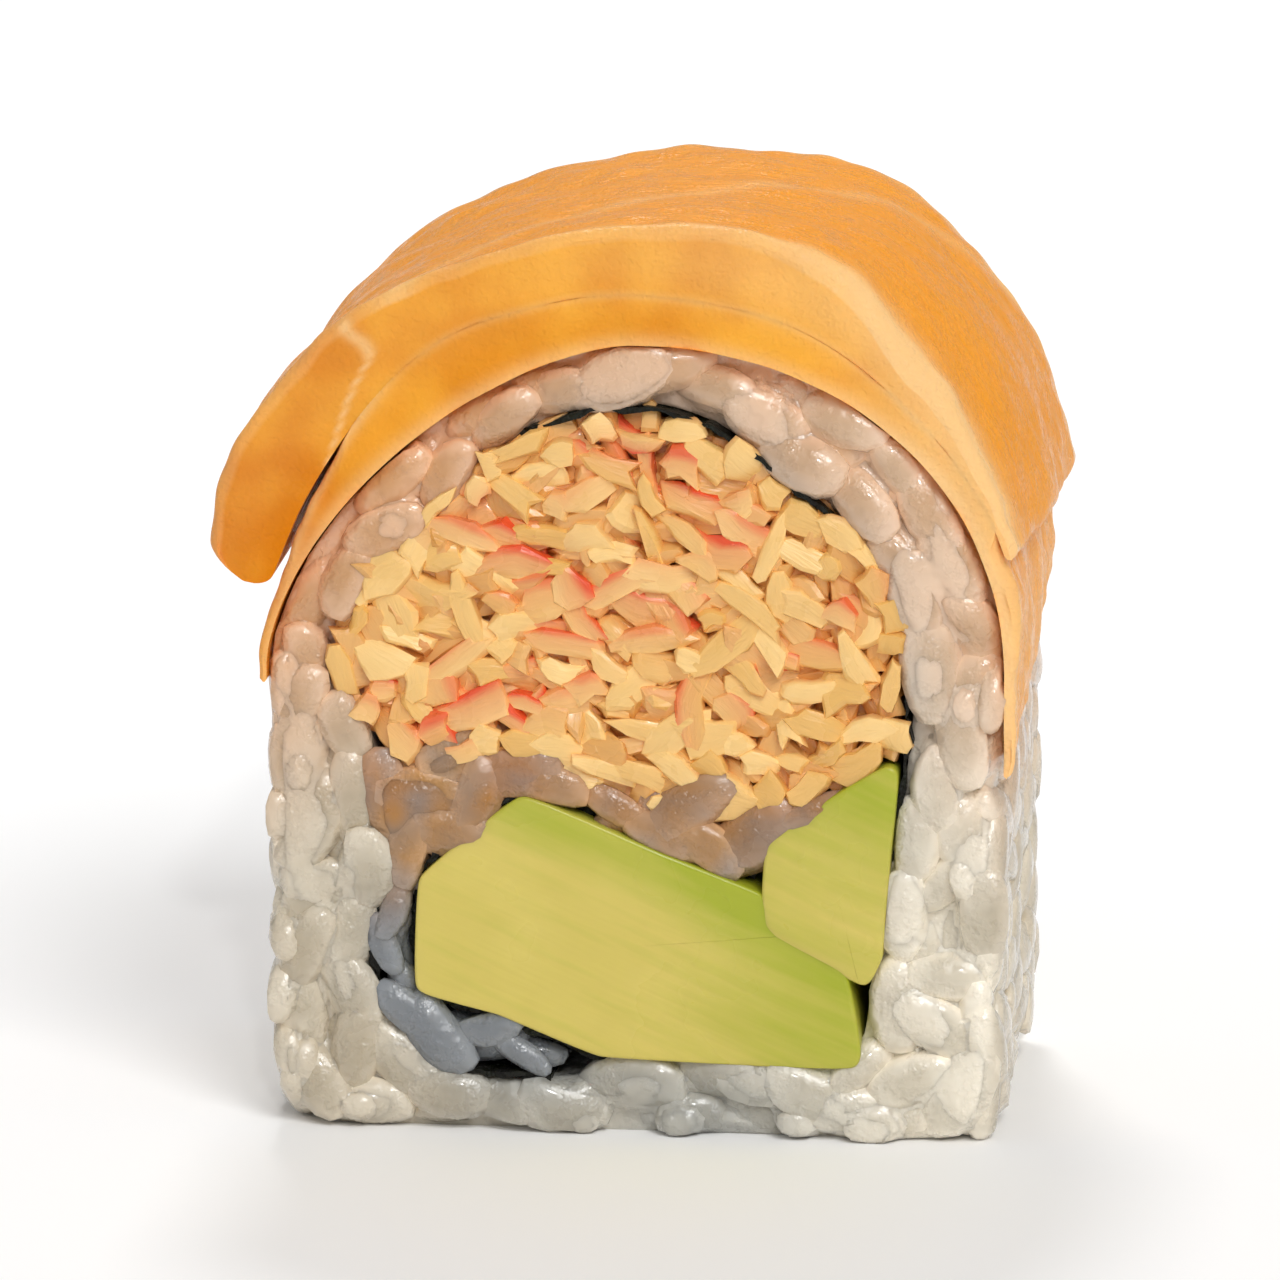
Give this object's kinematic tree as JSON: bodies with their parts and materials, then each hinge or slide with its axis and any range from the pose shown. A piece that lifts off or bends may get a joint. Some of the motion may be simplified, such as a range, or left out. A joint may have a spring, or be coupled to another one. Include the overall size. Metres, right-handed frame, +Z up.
{
  "type": "uramaki roll piece",
  "caption": "Cut piece of an inside-out sushi roll: rice outside, rolled seaweed round crab and avocado, salmon draped over the arched top.",
  "frame": {"origin": "middle of the flat base, halfway along the piece", "axes": "+Z up, +X to the right across the shown cut face, -Y towards the shown cut face"},
  "size_m": [0.0453, 0.025, 0.0507],
  "materials": {
    "outer_rice": "moist, translucent cooked rice",
    "seaweed": "damp, crinkled dried seaweed",
    "inner_rice": "moist rice, darkened by the seaweed",
    "crab": "moist shredded crab stick with red edges",
    "avocado": "smooth, slightly wet cut avocado",
    "salmon": "wet, satin cured salmon with pale fat lines"
  },
  "bodies": {
    "root": {"outer_rice": "outer_rice", "seaweed": "seaweed", "inner_rice": "inner_rice", "crab": "crab", "avocado_large": "avocado", "avocado_small": "avocado", "salmon_inner": "salmon", "salmon_outer": "salmon"}
  },
  "joints": []
}
